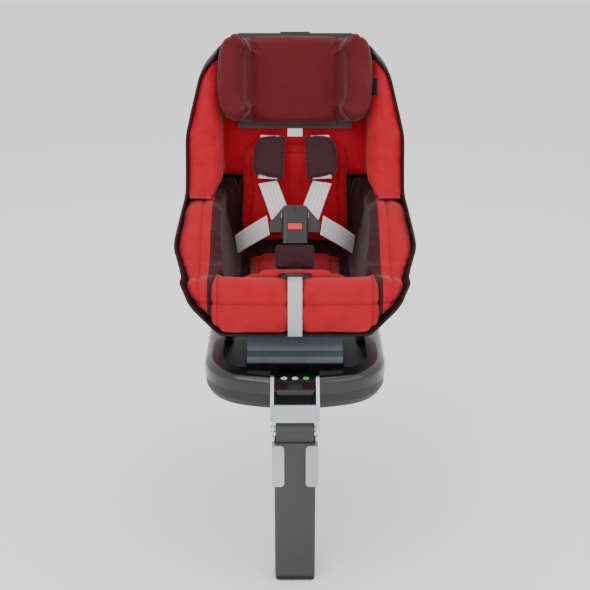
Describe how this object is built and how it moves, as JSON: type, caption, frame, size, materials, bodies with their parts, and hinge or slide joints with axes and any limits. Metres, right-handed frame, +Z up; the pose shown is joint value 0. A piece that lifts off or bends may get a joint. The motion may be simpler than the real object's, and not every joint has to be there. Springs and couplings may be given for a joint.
{
  "type": "convertible car seat",
  "caption": "Reclining child car seat with padded wings, sliding headrest and harness, on an anchored base with a folding telescopic support leg.",
  "frame": {"origin": "centre of the base's flat underside, on the seat's plane of symmetry", "axes": "+Z up, +Y towards the vehicle's backrest and anchor bars, -Y the way the child faces, +X to the right seen from the front"},
  "size_m": [0.4536, 0.6477, 0.9679],
  "materials": {
    "base_plastic": "fine texture",
    "base_gloss": "gloss",
    "steel": "zinc plated",
    "silver_plastic": "satin silver",
    "leg_plastic": "fine texture",
    "rubber": "matt",
    "button_grey": "satin",
    "lens_white": "clear",
    "lens_green": "clear",
    "board": "matt",
    "black_plastic": "satin",
    "handle_grey": "satin",
    "shell_plastic": "fine texture",
    "foam": "expanded foam",
    "red_fabric": "knitted",
    "burgundy_fabric": "knitted",
    "webbing": "woven",
    "button_red": "gloss"
  },
  "bodies": {
    "base": {"base_housing_screws": "steel", "base_lower_housing": "base_plastic", "base_tray": "base_plastic", "base_tray_stands": "base_plastic", "base_upper_rim": "base_gloss", "battery_cover": "base_plastic", "indicator_circuit_board": "board", "indicator_lens_green": "lens_green", "indicator_lenses_white": "lens_white", "indicator_panel": "base_gloss", "leg_bracket": "steel", "leg_bracket_cover": "silver_plastic", "leg_hinge_pin": "steel", "seat_latches": "base_plastic"},
    "seat_foot": {"seat_foot": "base_plastic"},
    "headrest": {"headrest_shell": "black_plastic", "headrest_pad": "burgundy_fabric", "shoulder_pad_left": "burgundy_fabric", "shoulder_pad_right": "burgundy_fabric", "shoulder_strap_upper_left": "webbing", "shoulder_strap_upper_right": "webbing"},
    "headrest_lever": {"headrest_lever": "black_plastic"},
    "recline_handle": {"recline_handle": "handle_grey"},
    "buckle_button": {"buckle_button": "button_red"},
    "adjuster_button": {"adjuster_button": "handle_grey"},
    "seat_release_lever": {"seat_release_lever": "black_plastic"},
    "leg": {"leg_inner_tube": "leg_plastic"},
    "leg_sleeve": {"leg_sleeve": "leg_plastic", "leg_foot": "rubber"},
    "leg_button_left": {"leg_button_left": "button_grey"},
    "leg_button_right": {"leg_button_right": "button_grey"},
    "anchor_arms": {"anchor_arm_frame": "steel", "anchor_connector_left": "black_plastic", "anchor_connector_right": "black_plastic", "anchor_hook_pins": "steel"},
    "anchor_hook_left": {"anchor_hook_left": "steel"},
    "anchor_hook_right": {"anchor_hook_right": "steel"},
    "anchor_release_left": {"anchor_release_left": "button_grey"},
    "anchor_release_right": {"anchor_release_right": "button_grey"},
    "seat": {"seat_shell": "shell_plastic", "recline_runners": "base_plastic", "seat_foam": "foam", "front_cover": "red_fabric", "hip_cover_left": "red_fabric", "hip_cover_right": "red_fabric", "wing_cover": "red_fabric", "cushion_pad": "red_fabric", "back_pad": "red_fabric", "headrest_rail": "steel", "shoulder_strap_left": "webbing", "shoulder_strap_right": "webbing", "lap_strap_left": "webbing", "lap_strap_right": "webbing", "buckle_tongue_left": "black_plastic", "buckle_tongue_right": "black_plastic", "buckle_housing": "black_plastic", "crotch_strap": "black_plastic", "crotch_pad": "burgundy_fabric", "adjuster_bezel": "black_plastic", "adjuster_strap": "webbing"}
  },
  "joints": [
    {"name": "seat_lift_off", "type": "slide", "parent": "base", "child": "seat_foot", "axis": [0, 0, 1], "range_m": [0, 0.12]},
    {"name": "recline", "type": "hinge", "parent": "seat_foot", "child": "seat", "pos_m": [0, 0.02, 0.56], "axis": [-1, 0, 0], "range_deg": [0, 14]},
    {"name": "headrest_height", "type": "slide", "parent": "seat", "child": "headrest", "axis": [0, 0.2705, 0.9627], "range_m": [0, 0.066]},
    {"name": "headrest_lever_pull", "type": "slide", "parent": "headrest", "child": "headrest_lever", "axis": [0, 0.2705, 0.9627], "range_m": [0, 0.006], "stiffness_N_per_m": 300},
    {"name": "recline_handle_pull", "type": "slide", "parent": "seat", "child": "recline_handle", "axis": [0, -1, 0], "range_m": [0, 0.012], "stiffness_N_per_m": 600},
    {"name": "buckle_button_press", "type": "slide", "parent": "seat", "child": "buckle_button", "axis": [0, 0.866, -0.5], "range_m": [0, 0.004], "stiffness_N_per_m": 1500},
    {"name": "adjuster_button_press", "type": "slide", "parent": "seat", "child": "adjuster_button", "axis": [0, 0, -1], "range_m": [0, 0.004], "stiffness_N_per_m": 800},
    {"name": "seat_release_press", "type": "slide", "parent": "base", "child": "seat_release_lever", "axis": [0, 0, -1], "range_m": [0, 0.003], "stiffness_N_per_m": 800},
    {"name": "leg_fold", "type": "hinge", "parent": "base", "child": "leg", "pos_m": [0, -0.302, -0.024], "axis": [1, 0, 0], "range_deg": [0, 88]},
    {"name": "leg_extend", "type": "slide", "parent": "leg", "child": "leg_sleeve", "axis": [0, 0, -1], "range_m": [0, 0.18]},
    {"name": "leg_button_left_press", "type": "slide", "parent": "leg_sleeve", "child": "leg_button_left", "axis": [1, 0, 0], "range_m": [0, 0.003], "stiffness_N_per_m": 900},
    {"name": "leg_button_right_press", "type": "slide", "parent": "leg_sleeve", "child": "leg_button_right", "axis": [-1, 0, 0], "range_m": [0, 0.003], "stiffness_N_per_m": 900},
    {"name": "anchor_arm_slide", "type": "slide", "parent": "base", "child": "anchor_arms", "axis": [0, -1, 0], "range_m": [0, 0.08]},
    {"name": "anchor_release_left_slide", "type": "slide", "parent": "anchor_arms", "child": "anchor_release_left", "axis": [0, -1, 0], "range_m": [0, 0.006], "stiffness_N_per_m": 500},
    {"name": "anchor_hook_left_turn", "type": "hinge", "parent": "anchor_arms", "child": "anchor_hook_left", "pos_m": [-0.14, 0.281, 0.019], "axis": [1, 0, 0], "range_deg": [0, 24]},
    {"name": "anchor_release_right_slide", "type": "slide", "parent": "anchor_arms", "child": "anchor_release_right", "axis": [0, -1, 0], "range_m": [0, 0.006], "stiffness_N_per_m": 500},
    {"name": "anchor_hook_right_turn", "type": "hinge", "parent": "anchor_arms", "child": "anchor_hook_right", "pos_m": [0.14, 0.281, 0.019], "axis": [1, 0, 0], "range_deg": [0, 24]}
  ],
  "couplings": [
    {"joint": "anchor_hook_left_turn", "follows": "anchor_release_left_slide", "rad_per_m": 69.743},
    {"joint": "anchor_hook_right_turn", "follows": "anchor_release_right_slide", "rad_per_m": 69.743}
  ]
}
